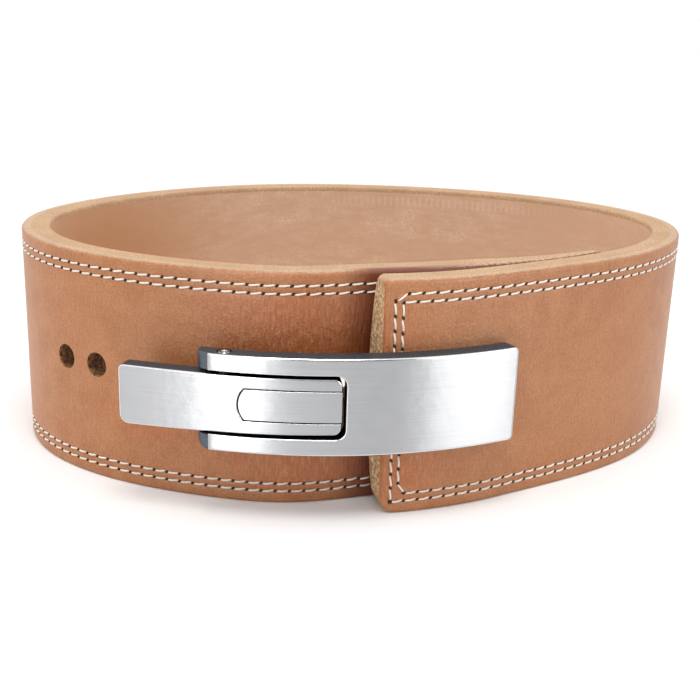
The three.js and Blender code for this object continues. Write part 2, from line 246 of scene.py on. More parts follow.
# %% Paths in plan
def arc_path(centre, radius, start_angle):
    """Path round a circle. It gives the points at lengths and the unit vectors towards the wearer."""
    def at(lengths):
        angle = start_angle + np.asarray(lengths, float) / radius
        inward = np.stack([-np.sin(angle), np.cos(angle)], -1)
        return centre - inward * radius, inward
    return at


def spline_path(points, step=0.25):
    """Path along the natural cubic spline through points, and its length."""
    span = np.linalg.norm(np.diff(points, axis=0), axis=1)
    knots = np.concatenate([[0.0], np.cumsum(span)])
    count = len(points)
    matrix = np.eye(count)
    right = np.zeros((count, 2))
    slope = np.diff(points, axis=0) / span[:, None]
    for i in range(1, count - 1):
        matrix[i, i - 1:i + 2] = span[i - 1], 2 * (span[i - 1] + span[i]), span[i]
        right[i] = 6 * (slope[i] - slope[i - 1])
    bend = np.linalg.solve(matrix, right)
    at_knot = np.arange(0.0, knots[-1], step)
    i = np.clip(np.searchsorted(knots, at_knot, "right") - 1, 0, count - 2)
    before, after, width = knots[i + 1] - at_knot, at_knot - knots[i], span[i]
    before, after, width = before[:, None], after[:, None], width[:, None]
    dense = (bend[i] * before ** 3 + bend[i + 1] * after ** 3) / (6 * width) \
        + (points[i] / width - bend[i] * width / 6) * before \
        + (points[i + 1] / width - bend[i + 1] * width / 6) * after
    run = np.concatenate([[0.0], np.cumsum(np.linalg.norm(np.diff(dense, axis=0), axis=1))])
    along = np.gradient(dense, run, axis=0)
    along /= np.linalg.norm(along, axis=1)[:, None]

    def at(lengths):
        lengths = np.asarray(lengths, float)
        inside = np.clip(lengths, 0.0, run[-1])
        point = np.stack([np.interp(inside, run, dense[:, k]) for k in (0, 1)], -1)
        way = np.stack([np.interp(inside, run, along[:, k]) for k in (0, 1)], -1)
        way /= np.linalg.norm(way, axis=-1)[..., None]
        point = point + way * (lengths - inside)[..., None]
        return point, np.stack([-way[..., 1], way[..., 0]], -1)
    return at, run[-1]


def smoothstep(value, low, high):
    share = np.clip((value - low) / (high - low), 0.0, 1.0)
    return share * share * (3.0 - 2.0 * share)


# %% The strap's outer face in plan
seat_path = arc_path(SEAT_CENTRE, SEAT_RADIUS, FLAP_END_ANGLE)
seat_length = PLATE_OVER_FLAP / PLATE_RADIUS * SEAT_RADIUS + SEAT_SPARE
seat = seat_path(np.linspace(0.0, seat_length, 5))[0]
once_round = np.vstack([seat, LOOP_SHAPE * LOOP_HALF])
outside, _ = spline_path(once_round)
lap_lengths = np.linspace(0.0, LAP_LENGTH, 7)
lap_point, lap_inward = outside(lap_lengths)
lap_depth = LEATHER + GAP + FLAP_LIFT * (1.0 - smoothstep(lap_lengths, LIFT_FROM, LIFT_TO))
strap_path, strap_length = spline_path(np.vstack([once_round, lap_point + lap_inward * lap_depth[:, None]]))
print("strap length (mm):", round(strap_length, 1))

# %% [markdown]
# The CAD model centres the belt on its own box, so the same shift puts this path where the CAD strap is.

# %% Shift into the frame
loop_points = strap_path(np.arange(0.0, strap_length, 0.5))[0]
SHIFT = np.array([
    strap_low.x / MM - loop_points[:, 0].min(),
    strap_high.y / MM - loop_points[:, 1].max(),
])
print("shift into the frame (mm):", SHIFT.round(2))


def beside(path, lengths, depth, height):
    """Points beside a path, in metres: depth counts from the path towards the wearer."""
    point, inward = path(lengths)
    plan = point + inward * np.asarray(depth, float)[..., None] + SHIFT
    height = np.broadcast_to(np.asarray(height, float), plan.shape[:-1])
    return np.concatenate([plan, height[..., None]], -1) * MM


# %% [markdown]
# ## The leather band
# The band is a loft: one rounded section, repeated along the path. Its height, thickness and corners change
# along the way: the flap's end has a round lower corner, the tail is shaved thin. Rows of points run where
# the stitching lies, so the leather can sink a little there, as thread pulled tight makes it do.

# %% Shape of the strap along its length
FLAP_LOWER_CORNER = 6.5
FLAP_UPPER_CORNER = 2.5
FLAP_END_ROUND = 2.2
FLAP_END_BOW = 3.2
FLAP_END_SKEW = 1.5
SKEW_REACH = 60.0
TAIL_CORNER = 3.0
TAIL_THICKNESS = 4.5
TAIL_TAPER = 75.0
GRAIN_EDGE_ROUND = 1.5
FLESH_EDGE_ROUND = 1.2
ROW_FROM_EDGE = (5.5, 8.9)
ROW_FROM_END = (4.1, 7.4)
STITCH_SINK = 0.3
SINK_REACH = 1.2


def corner(radius, distance):
    """How far an outline with a round corner steps back at a distance from its end."""
    short = np.clip(radius - distance, 0.0, None)
    return radius - np.sqrt(np.clip(radius ** 2 - short ** 2, 0.0, None))


def strap_shape(lengths):
    to_tail = strap_length - lengths
    tail_inset = corner(TAIL_CORNER, to_tail)
    low = corner(FLAP_LOWER_CORNER, lengths) + tail_inset
    high = STRAP_WIDTH - corner(FLAP_UPPER_CORNER, lengths) - tail_inset
    front = corner(FLAP_END_ROUND, lengths)
    back = TAIL_THICKNESS + (LEATHER - TAIL_THICKNESS) * np.clip(to_tail / TAIL_TAPER, 0.0, 1.0)
    return low, high, front, back


def skewed(lengths, heights):
    """Lengths near the flap's end, which is cut a little aslant: its lower corner lies further back."""
    fade = np.clip(1.0 - lengths / SKEW_REACH, 0.0, 1.0)
    return lengths + FLAP_END_SKEW * fade * (1.0 - heights / STRAP_WIDTH)


def stitch_sink(lengths, heights):
    """How far the grain sinks under the stitching, in mm."""
    from_edge = np.minimum(heights, STRAP_WIDTH - heights)
    sink = np.zeros(np.broadcast(lengths, heights).shape)
    for edge_row, end_row in zip(ROW_FROM_EDGE, ROW_FROM_END):
        across = np.where(lengths > end_row, np.abs(from_edge - edge_row), SINK_REACH)
        down = np.where(from_edge > edge_row, np.abs(lengths - end_row), SINK_REACH)
        sink = np.maximum(sink, np.clip(1.0 - np.minimum(across, down) / SINK_REACH, 0.0, 1.0))
    return STITCH_SINK * sink


# %% Stations and section of the loft
stations = np.concatenate([
    [0.0, 0.15, 0.5, 1.1], np.arange(1.9, 12.5, 0.9), np.arange(13.0, strap_length - 4.0, 2.5),
    strap_length - np.array([3.0, 1.8, 0.9, 0.3, 0.0]),
])
half_face = np.array([
    2.4, 3.4, 4.3, 4.9, 5.5, 6.1, 6.7, 7.8, 8.3, 8.9, 9.5, 10.1, 12.0, 15.0, *range(19, 45, 5)])
face_rows = np.array([*half_face, STRAP_WIDTH / 2, *STRAP_WIDTH - half_face[::-1]]) / STRAP_WIDTH
low, high, front, back = strap_shape(stations)
quarter = np.radians([0.0, 22.5, 45.0, 67.5, 90.0])
s = stations[:, None]
edge_depths = np.array([0.25, 0.5, 0.75])


def edge_round(radius, front_side, top_side):
    """Depth and height of the quarter round between a face and an edge, from the face to the edge."""
    inset = radius * (1.0 - np.sin(quarter))
    rise = radius * (1.0 - np.cos(quarter))
    depth = front[:, None] + rise if front_side else back[:, None] - rise
    height = high[:, None] - inset if top_side else low[:, None] + inset
    return depth, height


face_height = low[:, None] + (high - low)[:, None] * face_rows
grain_depth = front[:, None] + stitch_sink(s, face_height)
flesh_depth = np.broadcast_to(back[:, None], face_height.shape)
run_front, run_back = front + GRAIN_EDGE_ROUND, back - FLESH_EDGE_ROUND
edge_depth = run_front[:, None] + (run_back - run_front)[:, None] * edge_depths
parts = [
    (grain_depth, face_height),
    edge_round(GRAIN_EDGE_ROUND, True, True),
    (edge_depth, np.broadcast_to(high[:, None], edge_depth.shape)),
    tuple(a[:, ::-1] for a in edge_round(FLESH_EDGE_ROUND, False, True)),
    (flesh_depth, face_height[:, ::-1]),
    edge_round(FLESH_EDGE_ROUND, False, False),
    (edge_depth[:, ::-1], np.broadcast_to(low[:, None], edge_depth.shape)),
    tuple(a[:, ::-1] for a in edge_round(GRAIN_EDGE_ROUND, True, False)),
]
ring_depth = np.concatenate([p[0] for p in parts], 1)
ring_height = np.concatenate([p[1] for p in parts], 1)
sizes = [p[0].shape[1] for p in parts]
print("stations:", len(stations), "points round the section:", ring_depth.shape[1])

# %% [markdown]
# The flap's end isn't cut quite straight. It is a little aslant, and its flesh side bows out towards the
# left at half height, so the pale raw end is widest there. Each point of the first stations moves along the
# path by its own amount.

# %% Loft the strap
BOW_REACH = 4.0
fade = np.clip(1.0 - stations / BOW_REACH, 0.0, 1.0)[:, None]
bow = FLAP_END_BOW * np.sin(np.pi * np.clip(ring_height / STRAP_WIDTH, 0.0, 1.0)) ** 0.8
ring_length = skewed(s, ring_height) - bow * fade * np.clip(ring_depth / LEATHER, 0.0, 1.0) ** 1.3
points = beside(strap_path, ring_length, ring_depth, ring_height)
rings, sides = points.shape[:2]
girth_steps = np.linalg.norm(np.diff(points[rings // 2], axis=0, append=points[rings // 2, :1]), axis=1)
girth = np.concatenate([[0.0], np.cumsum(girth_steps)])
GRAIN, EDGE, FLESH, END = 0, 1, 2, 3
side_slot = []
for slot_of_part, size in zip((GRAIN, GRAIN, EDGE, EDGE, FLESH, EDGE, EDGE, GRAIN), sizes):
    side_slot += [slot_of_part] * size
faces, uv, slots = [], [], []
for i in range(rings - 1):
    for j in range(sides):
        k = (j + 1) % sides
        faces.append((i * sides + j, (i + 1) * sides + j, (i + 1) * sides + k, i * sides + k))
        a, b = stations[i] * MM, stations[i + 1] * MM
        uv += [(a, girth[j]), (b, girth[j]), (b, girth[j + 1]), (a, girth[j + 1])]
        slots.append(side_slot[j])

# %% [markdown]
# Both ends are closed with a grid of faces between the two long sides of the section. The flap's end is
# raw leather that the photograph shows well, so its grid is rough: each point moves a little at random,
# always in the same way because the numbers come from a fixed seed.

# %% Close the ends
vertices = [tuple(p) for p in points.reshape(-1, 3)]
rng = np.random.default_rng(7)


def end_cap(ring, slot, roughness):
    """Faces over the end of the loft, between the front side and the back side of its section."""
    first = ring * sides
    front_line = [first + (j % sides) for j in range(-4, sizes[0] + 5)]
    back_line = [first + j for j in range(sides - 5 - sizes[6], sizes[0] + 3 + sizes[2], -1)]
    columns = sizes[2] + 1
    grid = [front_line]
    for c in range(1, columns):
        share = c / columns
        line = []
        for r, (a, b) in enumerate(zip(front_line, back_line)):
            if r in (0, len(front_line) - 1):
                start = first + (sides - 4 - c if r == 0 else sizes[0] + 4 + c)
                line.append(start)
                continue
            place = np.array(vertices[a]) * (1 - share) + np.array(vertices[b]) * share
            vertices.append(tuple(place + rng.normal(0.0, roughness * MM, 3)))
            line.append(len(vertices) - 1)
        grid.append(line)
    grid.append(back_line)
    for c in range(columns):
        for r in range(len(front_line) - 1):
            quad = (grid[c][r], grid[c][r + 1], grid[c + 1][r + 1], grid[c + 1][r])
            faces.append(quad if ring == 0 else quad[::-1])
            uv.extend([(c * 0.003, r * 0.002)] * 4)
            slots.append(slot)


end_cap(0, END, 0.12)
end_cap(rings - 1, EDGE, 0.05)
strap = mesh_object("leather_strap", vertices, faces, uv)
strap.data.polygons.foreach_set("material_index", slots)
print("strap faces:", len(faces))
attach(strap, "root")
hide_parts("strap")

# %% [markdown]
# ## Adjusting holes
# One row of punched holes runs along the middle of the front of the belt. Two of them take the pegs of the
# buckle's hook bar and the others are free. A punch is a turned shape, so the cutter is turned too, from a
# short profile that flares a little at both mouths, where the leather gives way. A Boolean modifier cuts
# the row in one go and gives the walls of the holes the cutter's own material.

# %% Buckle sizes that the holes depend on
BUCKLE_HEIGHT = 50.4
HOLE_ROW_HEIGHT = BUCKLE_HEIGHT + 1.2
HOLE_RADIUS = 5.3
HOLE_PITCH = 18.8
HOLES_BEFORE_PEG, HOLES_PAST_PEG = 5, 6
SLOT_SETBACK = 16.0
LEVER_END_GAP = 1.5
HOOK_PIN_FROM_END = 4.0
PEG_SETBACK = 8.0
LEVER_RECESS = 0.8
LEVER_DEPTH = 7.0
plate_path = arc_path(SEAT_CENTRE, PLATE_RADIUS, FLAP_END_ANGLE)
lever_end = -SLOT_SETBACK - LEVER_END_GAP
first_peg_point = plate_path(lever_end - HOOK_PIN_FROM_END - PEG_SETBACK)[0]
inner_layer = np.arange(strap_length - LAP_LENGTH - LOOP_HALF[0], strap_length, 0.1)
first_peg = inner_layer[np.argmin(np.linalg.norm(strap_path(inner_layer)[0] - first_peg_point, axis=1))]
hole_lengths = first_peg - HOLE_PITCH * np.arange(-HOLES_BEFORE_PEG, HOLES_PAST_PEG + 1)
print("first peg, along the strap (mm):", round(float(first_peg), 1), "holes:", len(hole_lengths))


# %% Turned shapes
def turned(profile, centre, axis, sides=40):
    """Points and faces of a turned solid. The profile is radius and height, in mm, along the axis."""
    turn = Vector((0, 0, 1)).rotation_difference(Vector(axis)).to_matrix()
    angles = 2 * math.pi * np.arange(sides) / sides
    rings, points, faces = [], [], []
    for radius, height in profile:
        ring = [(radius * math.cos(a), radius * math.sin(a), height) for a in (angles if radius else [0.0])]
        rings.append([len(points) + k for k in range(len(ring))])
        points += ring
    for below, above in zip(rings, rings[1:]):
        for k in range(sides):
            n = (k + 1) % sides
            if len(below) == 1:
                faces.append((below[0], above[n], above[k]))
            elif len(above) == 1:
                faces.append((below[k], below[n], above[0]))
            else:
                faces.append((below[k], below[n], above[n], above[k]))
    return [tuple(Vector(centre) + turn @ Vector(p) * MM) for p in points], faces


def joined(name, solids):
    """One object of several closed solids."""
    points, faces = [], []
    for solid_points, solid_faces in solids:
        faces += [tuple(v + len(points) for v in face) for face in solid_faces]
        points += solid_points
    made = mesh_object(name, points, faces)
    tidy = bmesh.new()
    tidy.from_mesh(made.data)
    bmesh.ops.recalc_face_normals(tidy, faces=tidy.faces)
    tidy.to_mesh(made.data)
    tidy.free()
    return made


def apply_modifiers(piece):
    graph = bpy.context.evaluated_depsgraph_get()
    mesh = bpy.data.meshes.new_from_object(piece.evaluated_get(graph))
    piece.modifiers.clear()
    piece.data = mesh


def apply_boolean(piece, tool, operation):
    """Cuts or joins the tool, and removes it."""
    change = piece.modifiers.new("boolean", "BOOLEAN")
    change.operation = operation
    change.solver = "EXACT"
    change.material_mode = "TRANSFER"
    change.object = tool
    apply_modifiers(piece)
    bpy.data.objects.remove(tool)


def sharpen(piece, degrees):
    """Smooth faces, with the edges that bend more than this kept sharp."""
    piece.data.shade_smooth()
    piece.data.set_sharp_from_angle(angle=math.radians(degrees))


# %% Punch the holes
punch_profile = [
    (0.0, -0.6), (HOLE_RADIUS + 0.25, -0.6), (HOLE_RADIUS + 0.15, 0.05), (HOLE_RADIUS - 0.1, 0.45),
    (HOLE_RADIUS - 0.15, 1.2), (HOLE_RADIUS, LEATHER - 1.0), (HOLE_RADIUS + 0.4, LEATHER + 0.05),
    (HOLE_RADIUS + 0.7, LEATHER + 0.6), (0.0, LEATHER + 0.6),
]
punches = []
for length in hole_lengths:
    centre = beside(strap_path, length, 0.0, HOLE_ROW_HEIGHT)
    inward = strap_path(length)[1]
    punches.append(turned(punch_profile, centre, (*inward, 0.0)))
punch = joined("hole_punch", punches)

# %% [markdown]
# ## Leather
# Vegetable-tanned leather is sold in its natural tan. Its grain side is smooth, with fine pores, and creases
# where it is bent. The flesh side and the cut edges are paler and matt, because the fibres lie open there.
# Each finish mixes noises whose scales come from real sizes: a noise of scale PER_MM / d makes blotches
# about d millimetres across.


# %% Leather finishes
def mottled(tree, place, millimetres, first, second, detail=4.0, coarseness=0.5):
    """Two colours, or a colour and a node's, in soft blotches of a real size."""
    noise = add(tree, "TexNoise", {
        "Vector": place, "Scale": PER_MM / millimetres, "Detail": detail, "Roughness": coarseness})
    share = add(tree, "MapRange", {
        "Value": noise, "From Min": 0.34, "From Max": 0.68}, interpolation_type="SMOOTHSTEP")
    return add(tree, "Mix", {0: share, 6: first, 7: second}, data_type="RGBA")


def rough_surface(tree, shader, place, millimetres, depth, strength):
    """Relief of a real size and depth, in millimetres."""
    noise = add(tree, "TexNoise", {
        "Vector": place, "Scale": PER_MM / millimetres, "Detail": 4.0, "Roughness": 0.7})
    feed(shader, {"Normal": add(tree, "Bump", {
        "Strength": strength, "Distance": depth * MM, "Height": noise})})


def raw_fibres(tree, place):
    """Colour of a cut edge: pale fibres just under a millimetre thick, in wider shades."""
    pale = mottled(tree, place, 18.0, "#D3AF8B", "#C29D79")
    return mottled(tree, place, 0.9, "#A98561", pale, coarseness=0.7)


def ellipsoid_share(tree, place, centre, reach):
    """Share from 1 at a centre to 0 at an ellipsoid's surface, both in millimetres."""
    away = add(tree, "VectorMath", {0: place, 1: Vector(centre) * MM}, operation="SUBTRACT")
    away = add(tree, "VectorMath", {0: away, 1: [PER_MM / axis for axis in reach]}, operation="MULTIPLY")
    away = add(tree, "VectorMath", {0: away}, operation="LENGTH").outputs["Value"]
    return add(tree, "MapRange", {
        "Value": away, "From Min": 0.15, "From Max": 1.0, "To Min": 1.0, "To Max": 0.0,
    }, interpolation_type="SMOOTHSTEP")


# %% [markdown]
# The grain side is the smooth skin of the hide. Its tan varies in wide clouds and is redder and darker near
# the
# plate: above it and beside the flap this is partly rubbing by hands and the buckle and partly painted shade,
# below the plate and the lever it is painted shadow. There the leather also shows fine upright creases,
# because it bends there each time the lever is closed, and a paler tan along them is painted light. The pores
# are about a millimetre apart. Behind the slot in the plate the leather is painted near black, painted shade
# that keeps the slot's line dark.

# %% Grain side
grain, tree, shader, place = principled("vegetable_tanned_grain", {"Roughness": 0.43})
spread = add(tree, "UVMap", uv_map="UVMap").outputs["UV"]
hide = mottled(tree, place, 75.0, "#AC6B3A", "#B67543")
hide = mottled(tree, place, 11.0, hide, "#BC7D4D", 5.0, 0.6)
wear_and_shade_zones = [
    # centre (mm), reach (mm), share: above the plate and beside the flap (wear and painted shade), below the
    # plate and below the lever (painted shadow)
    ((-18.0, -105.0, 72.0), (72.0, 60.0, 34.0), 1.0),
    ((8.0, -97.0, 62.0), (24.0, 40.0, 52.0), 1.0),
    ((-10.0, -105.0, 22.0), (75.0, 60.0, 26.0), 1.0),
    ((-80.0, -95.0, 30.0), (40.0, 60.0, 13.0), 0.6),
]
# These zones redden and darken the tan: partly rubbing by hands and the buckle, partly painted shade above
# the plate and beside the flap, and painted shadow below the plate and the lever.
wear_and_shade = 0.0
for centre, reach, most in wear_and_shade_zones:
    zone = add(tree, "Math", {0: ellipsoid_share(tree, place, centre, reach), 1: most}, operation="MULTIPLY")
    wear_and_shade = add(tree, "Math", {0: zone, 1: wear_and_shade}, operation="MAXIMUM")
wear_and_shade_tint = add(tree, "Math", {0: wear_and_shade, 1: 0.72}, operation="MULTIPLY")
bent = add(tree, "Math", {0: wear_and_shade, 1: 0.65, 2: 0.35}, operation="MULTIPLY_ADD")
print("rubbed zones:", len(wear_and_shade_zones))

# %% Creases, painted slot shade and specks
CREASE_WIDTH, CREASE_LENGTH = 1.1, 5.0
crease_place = add(tree, "Mapping", {
    "Vector": spread, "Scale": (PER_MM / CREASE_WIDTH, PER_MM / CREASE_LENGTH, 1.0)})
creases = add(tree, "TexNoise", {"Vector": crease_place, "Scale": 1.0, "Detail": 2.0})
# Painted light: a paler tan along the creases stands in for light catching their ridges.
crease_light = add(tree, "MapRange", {
    "Value": creases, "From Min": 0.45, "From Max": 0.7, "To Max": 0.65})
crease_light = add(tree, "Math", {0: crease_light, 1: bent}, operation="MULTIPLY")
# Painted shade: the leather behind the slot in the plate turns near black, so the slot's line stays dark.
behind_slot = PLATE_DEPTH + LEATHER + FLAP_LIFT
slot_middle = beside(plate_path, -SLOT_SETBACK, behind_slot, BUCKLE_HEIGHT - PLATE_DEPTH)
slot_shade = ellipsoid_share(tree, place, slot_middle / MM, (25.0, 30.0, 27.0))
slot_shade = add(tree, "Math", {0: slot_shade, 1: 1.6}, operation="MULTIPLY", use_clamp=True)
specks = add(tree, "TexNoise", {
    "Vector": place, "Scale": PER_MM / 0.8, "Detail": 3.0, "Roughness": 0.6})
specked = add(tree, "MapRange", {"Value": specks, "From Min": 0.4, "From Max": 0.7, "To Max": 0.5})
# Over the tan: wear with painted shade and shadow, painted light along the creases, painted shade behind the
# slot, and pore specks.
for share, tan in ((wear_and_shade_tint, "#B85C1E"), (crease_light, "#D29160"), (slot_shade, "#140C07"), (specked, "#84502E")):
    hide = add(tree, "Mix", {0: share, 6: hide, 7: tan}, data_type="RGBA")

# %% [markdown]
# The grain ends in a ragged line just under the top edge, where the knife left the pale fibres bare. The
# distance to the top edge is read from the height, and a noise moves the line up and down. Under the flap,
# which the length along the strap tells, the grain is painted dark brown to its very edge, as painted shade
# in the gap between the two layers, until the two layers touch.

# %% Ragged border
RAGGED = 0.8 * MM
DARK_FROM, DARK_FULL, DARK_FADES, LIGHT_AGAIN = np.array([-8.0, 6.0, 25.0, 62.0]) + strap_length - LAP_LENGTH
height = add(tree, "SeparateXYZ", {0: place}).outputs["Z"]
below_top = add(tree, "Math", {0: STRAP_WIDTH * MM, 1: height}, operation="SUBTRACT")
ragged = add(tree, "TexNoise", {"Vector": place, "Scale": PER_MM / 1.6, "Detail": 3.0})
ragged = add(tree, "MapRange", {"Value": ragged, "To Min": -RAGGED, "To Max": RAGGED})
ragged = add(tree, "Math", {0: below_top, 1: ragged})
bare = add(tree, "MapRange", {
    "Value": ragged, "From Min": 0.0, "From Max": 0.5 * MM, "To Min": 1.0, "To Max": 0.0})
along = add(tree, "SeparateXYZ", {0: spread}).outputs["X"]
uncovered = add(tree, "MapRange", {
    "Value": along, "From Min": DARK_FROM * MM, "From Max": DARK_FULL * MM, "To Min": 1.0, "To Max": 0.0})
closed = add(tree, "MapRange", {
    "Value": along, "From Min": DARK_FADES * MM, "From Max": LIGHT_AGAIN * MM})
light_border = add(tree, "Math", {0: uncovered, 1: closed}, operation="MAXIMUM")
bare = add(tree, "Math", {0: bare, 1: light_border}, operation="MULTIPLY")
# Painted shade: under the flap the grain near its top edge is dark brown, the shade of the gap between the
# layers.
skin = "#7A3C1C"
for share, over in ((uncovered, hide), (bare, raw_fibres(tree, place))):
    skin = add(tree, "Mix", {0: share, 6: skin, 7: over}, data_type="RGBA")

# %% Relief of the grain
pores = add(tree, "TexVoronoi", {"Vector": place, "Scale": PER_MM}, feature="F1")
swell = add(tree, "TexNoise", {
    "Vector": place, "Scale": PER_MM / 3.5, "Detail": 4.0, "Roughness": 0.6})
relief = add(tree, "Math", {0: pores, 1: 0.55, 2: swell}, operation="MULTIPLY_ADD")
folded = add(tree, "Math", {0: creases, 1: bent}, operation="MULTIPLY")
relief = add(tree, "Math", {0: folded, 1: 2.2, 2: relief}, operation="MULTIPLY_ADD")
bump = add(tree, "Bump", {"Strength": 0.9, "Distance": 0.22 * MM, "Height": relief})
feed(shader, {"Base Color": skin, "Normal": bump})

# %% [markdown]
# A cut edge and the flesh side are matt, because their fibres lie open and scatter light. The flap's end
# was cut with a coarse blade and shows the most fibre. The wall of a punched hole mixes a raw tan with a
# near-black brown, and the near-black is painted shade deep in the narrow hole.

# %% Raw edge, cut flap end and the wall of a punched hole
edge_paint, tree, shader, place = principled("raw_leather_edge", {"Roughness": 0.85})
feed(shader, {"Base Color": raw_fibres(tree, place)})
rough_surface(tree, shader, place, 0.9, 0.3, 0.7)
flap_end, tree, shader, place = principled("cut_leather_end", {"Roughness": 0.9})
feed(shader, {"Base Color": mottled(tree, place, 1.5, "#8A5A34", "#FCD8A6", 5.0, 0.75)})
rough_surface(tree, shader, place, 1.0, 0.6, 0.9)
# Painted shade: the near-black brown in the walls of the holes stands for the shade deep in each hole.
wall_paint, tree, shader, place = principled("punched_leather_wall", {"Roughness": 0.85})
feed(shader, {"Base Color": mottled(tree, place, 1.8, "#2C180C", "#A8703F", 5.0, 0.7)})
rough_surface(tree, shader, place, 1.4, 0.5, 0.8)
punch.data.materials.append(wall_paint)

# %% [markdown]
# On the flesh side the bobbin thread is pulled deep into the suede. What shows of it is a band of faint pale
# bars behind the two rows at the top edge, clearest at the back. A sine of the length along the strap makes
# them, and the Compare node keeps them to the height of the rows. The suede is streaky along the belt, and
# its left end has been oiled by the hand that pulls it.

# %% Flesh side
DENT_PITCH, DENT_HALF_HEIGHT = 3.6, 2.6
flesh, tree, shader, place = principled("sueded_flesh_side", {"Roughness": 0.8})
streaky = add(tree, "Mapping", {"Vector": place, "Scale": (1.0, 1.0, 3.0)})
suede = mottled(tree, streaky, 60.0, "#CFA98A", "#DCBFA4")
suede = mottled(tree, streaky, 12.0, suede, "#CAA285", 5.0, 0.65)
suede = mottled(tree, place, 1.0, suede, "#CDA687", 3.0, 0.6)
spread = add(tree, "UVMap", uv_map="UVMap")
along = add(tree, "SeparateXYZ", {0: spread}).outputs["X"]
turn = add(tree, "Math", {0: along, 1: 2 * math.pi / (DENT_PITCH * MM)}, operation="MULTIPLY")
dent = add(tree, "Math", {0: turn}, operation="SINE")
dent = add(tree, "MapRange", {"Value": dent, "From Min": 0.2, "From Max": 0.9, "To Max": 0.45})
height = add(tree, "SeparateXYZ", {0: place}).outputs["Z"]
row_height = STRAP_WIDTH - sum(ROW_FROM_EDGE) / 2
in_row = add(tree, "Math", {
    0: height, 1: row_height * MM, 2: DENT_HALF_HEIGHT * MM}, operation="COMPARE")
pressed = ellipsoid_share(tree, place, (50.0, 110.0, 93.0), (95.0, 60.0, 60.0))
for share in (in_row, pressed):
    dent = add(tree, "Math", {0: dent, 1: share}, operation="MULTIPLY")
oiled = ellipsoid_share(tree, place, (-150.0, 40.0, 60.0), (110.0, 120.0, 90.0))
for share, tan in ((dent, "#E0C2A6"), (oiled, "#B9865D")):
    suede = add(tree, "Mix", {0: share, 6: suede, 7: tan}, data_type="RGBA")
feed(shader, {"Base Color": suede})
rough_surface(tree, shader, place, 1.2, 0.25, 0.5)

# %% Dress the strap
for finish in (grain, edge_paint, flesh, flap_end):
    strap.data.materials.append(finish)
apply_boolean(strap, punch, "DIFFERENCE")
sharpen(strap, 50.0)
print("strap polygons after punching:", len(strap.data.polygons))

# %% [markdown]
# ## Steel
# Stainless bar is brushed along its length with a belt of fine grit. The scratches spread a reflection
# across themselves, so the faces look satin and show soft upright bands. Anisotropy does that in the
# shader: the tangent runs along the bar, and a quarter turn lays the highlight across it. A fine streaky
# bump, one streak every 0.35 mm, and a faint waviness from the press break it up. The sides are ground
# smooth and mirror what is near them; their darker colour, partly diffuse grey, is painted shade. A buffing
# wheel has polished the rounded edges, so they show as bright lines. The walls of the narrow gaps are painted
# near black: painted shade.


# %% Steel
face_steel, tree, shader, _ = principled(
    "brushed_stainless_steel", {"Metallic": 1.0, "Anisotropic": 0.95, "Anisotropic Rotation": 0.25})
STREAK_LENGTH, STREAK_WIDTH = 45.0, 0.35
spread = add(tree, "UVMap", uv_map="UVMap").outputs["UV"]
streak_place = add(tree, "Mapping", {
    "Vector": spread, "Scale": (PER_MM / STREAK_LENGTH, PER_MM / STREAK_WIDTH, 1.0)})
streaks = add(tree, "TexNoise", {
    "Vector": streak_place, "Scale": 1.0, "Detail": 3.0, "Roughness": 0.6})
clouds = add(tree, "TexNoise", {"Vector": spread, "Scale": PER_MM / 8.0, "Detail": 4.0})
patchy = add(tree, "Math", {0: streaks, 1: clouds})
rough = add(tree, "MapRange", {
    "Value": patchy, "From Min": 0.7, "From Max": 1.3, "To Min": 0.33, "To Max": 0.42})
line_share = add(tree, "MapRange", {"Value": streaks, "From Min": 0.35, "From Max": 0.7})
tone = add(tree, "Mix", {0: line_share, 6: "#B5B6B8", 7: "#C1C2C4"}, data_type="RGBA")
waves = add(tree, "Math", {0: streaks, 1: 0.1, 2: clouds}, operation="MULTIPLY_ADD")
bump = add(tree, "Bump", {"Strength": 0.6, "Distance": 0.22 * MM, "Height": waves})
along_bar = add(tree, "Tangent", direction_type="UV_MAP", uv_map="UVMap")
feed(shader, {"Roughness": rough, "Base Color": tone, "Normal": bump, "Tangent": along_bar})


def ground_steel(name, colour, grazing, dull, metal):
    """Smooth ground steel with faint clouds of dullness. The rest of its share of metal is diffuse grey,
    painted shade.
    """
    steel, tree, shader, place = principled(
        name, {"Base Color": colour, "Specular Tint": grazing, "Metallic": metal})
    clouds = add(tree, "TexNoise", {"Vector": place, "Scale": PER_MM / 4.0, "Detail": 4.0})
    feed(shader, {"Roughness": add(tree, "MapRange", {
        "Value": clouds, "From Min": 0.3, "From Max": 0.7, "To Min": dull - 0.05, "To Max": dull + 0.05})})
    return steel


# Painted shade: the sides are darker than the faces and partly diffuse grey.
side_steel = ground_steel("ground_steel_side", "#5A6067", "#A9AFB6", 0.3, 0.6)
pin_steel = ground_steel("turned_steel_pin", "#B2B5B9", "#DADCDE", 0.22, 1.0)
edge_steel = ground_steel("polished_steel_edge", "#E4E5E7", "#F4F4F5", 0.16, 1.0)
# Painted shade: near-black steel on the walls of the narrow gaps.
gap_steel = ground_steel("steel_in_gaps_painted_shade", "#1E2022", "#3A3D40", 0.5, 1.0)

# %% [markdown]
# ## Steel buckle
# The plate, the lever and the hook bar are cut flat from thick stainless bar, their edges are rounded, and
# then they are bent in a press to the curve of the belt. They are made that way here too: an outline seen
# from the front becomes a flat bar with rounded edges, is cut across every two millimetres so that it can
# bend, and is laid along its path. A last part of each mesh is a narrow flat rim beside each rounded edge,
# which keeps the shading of the wide faces flat.


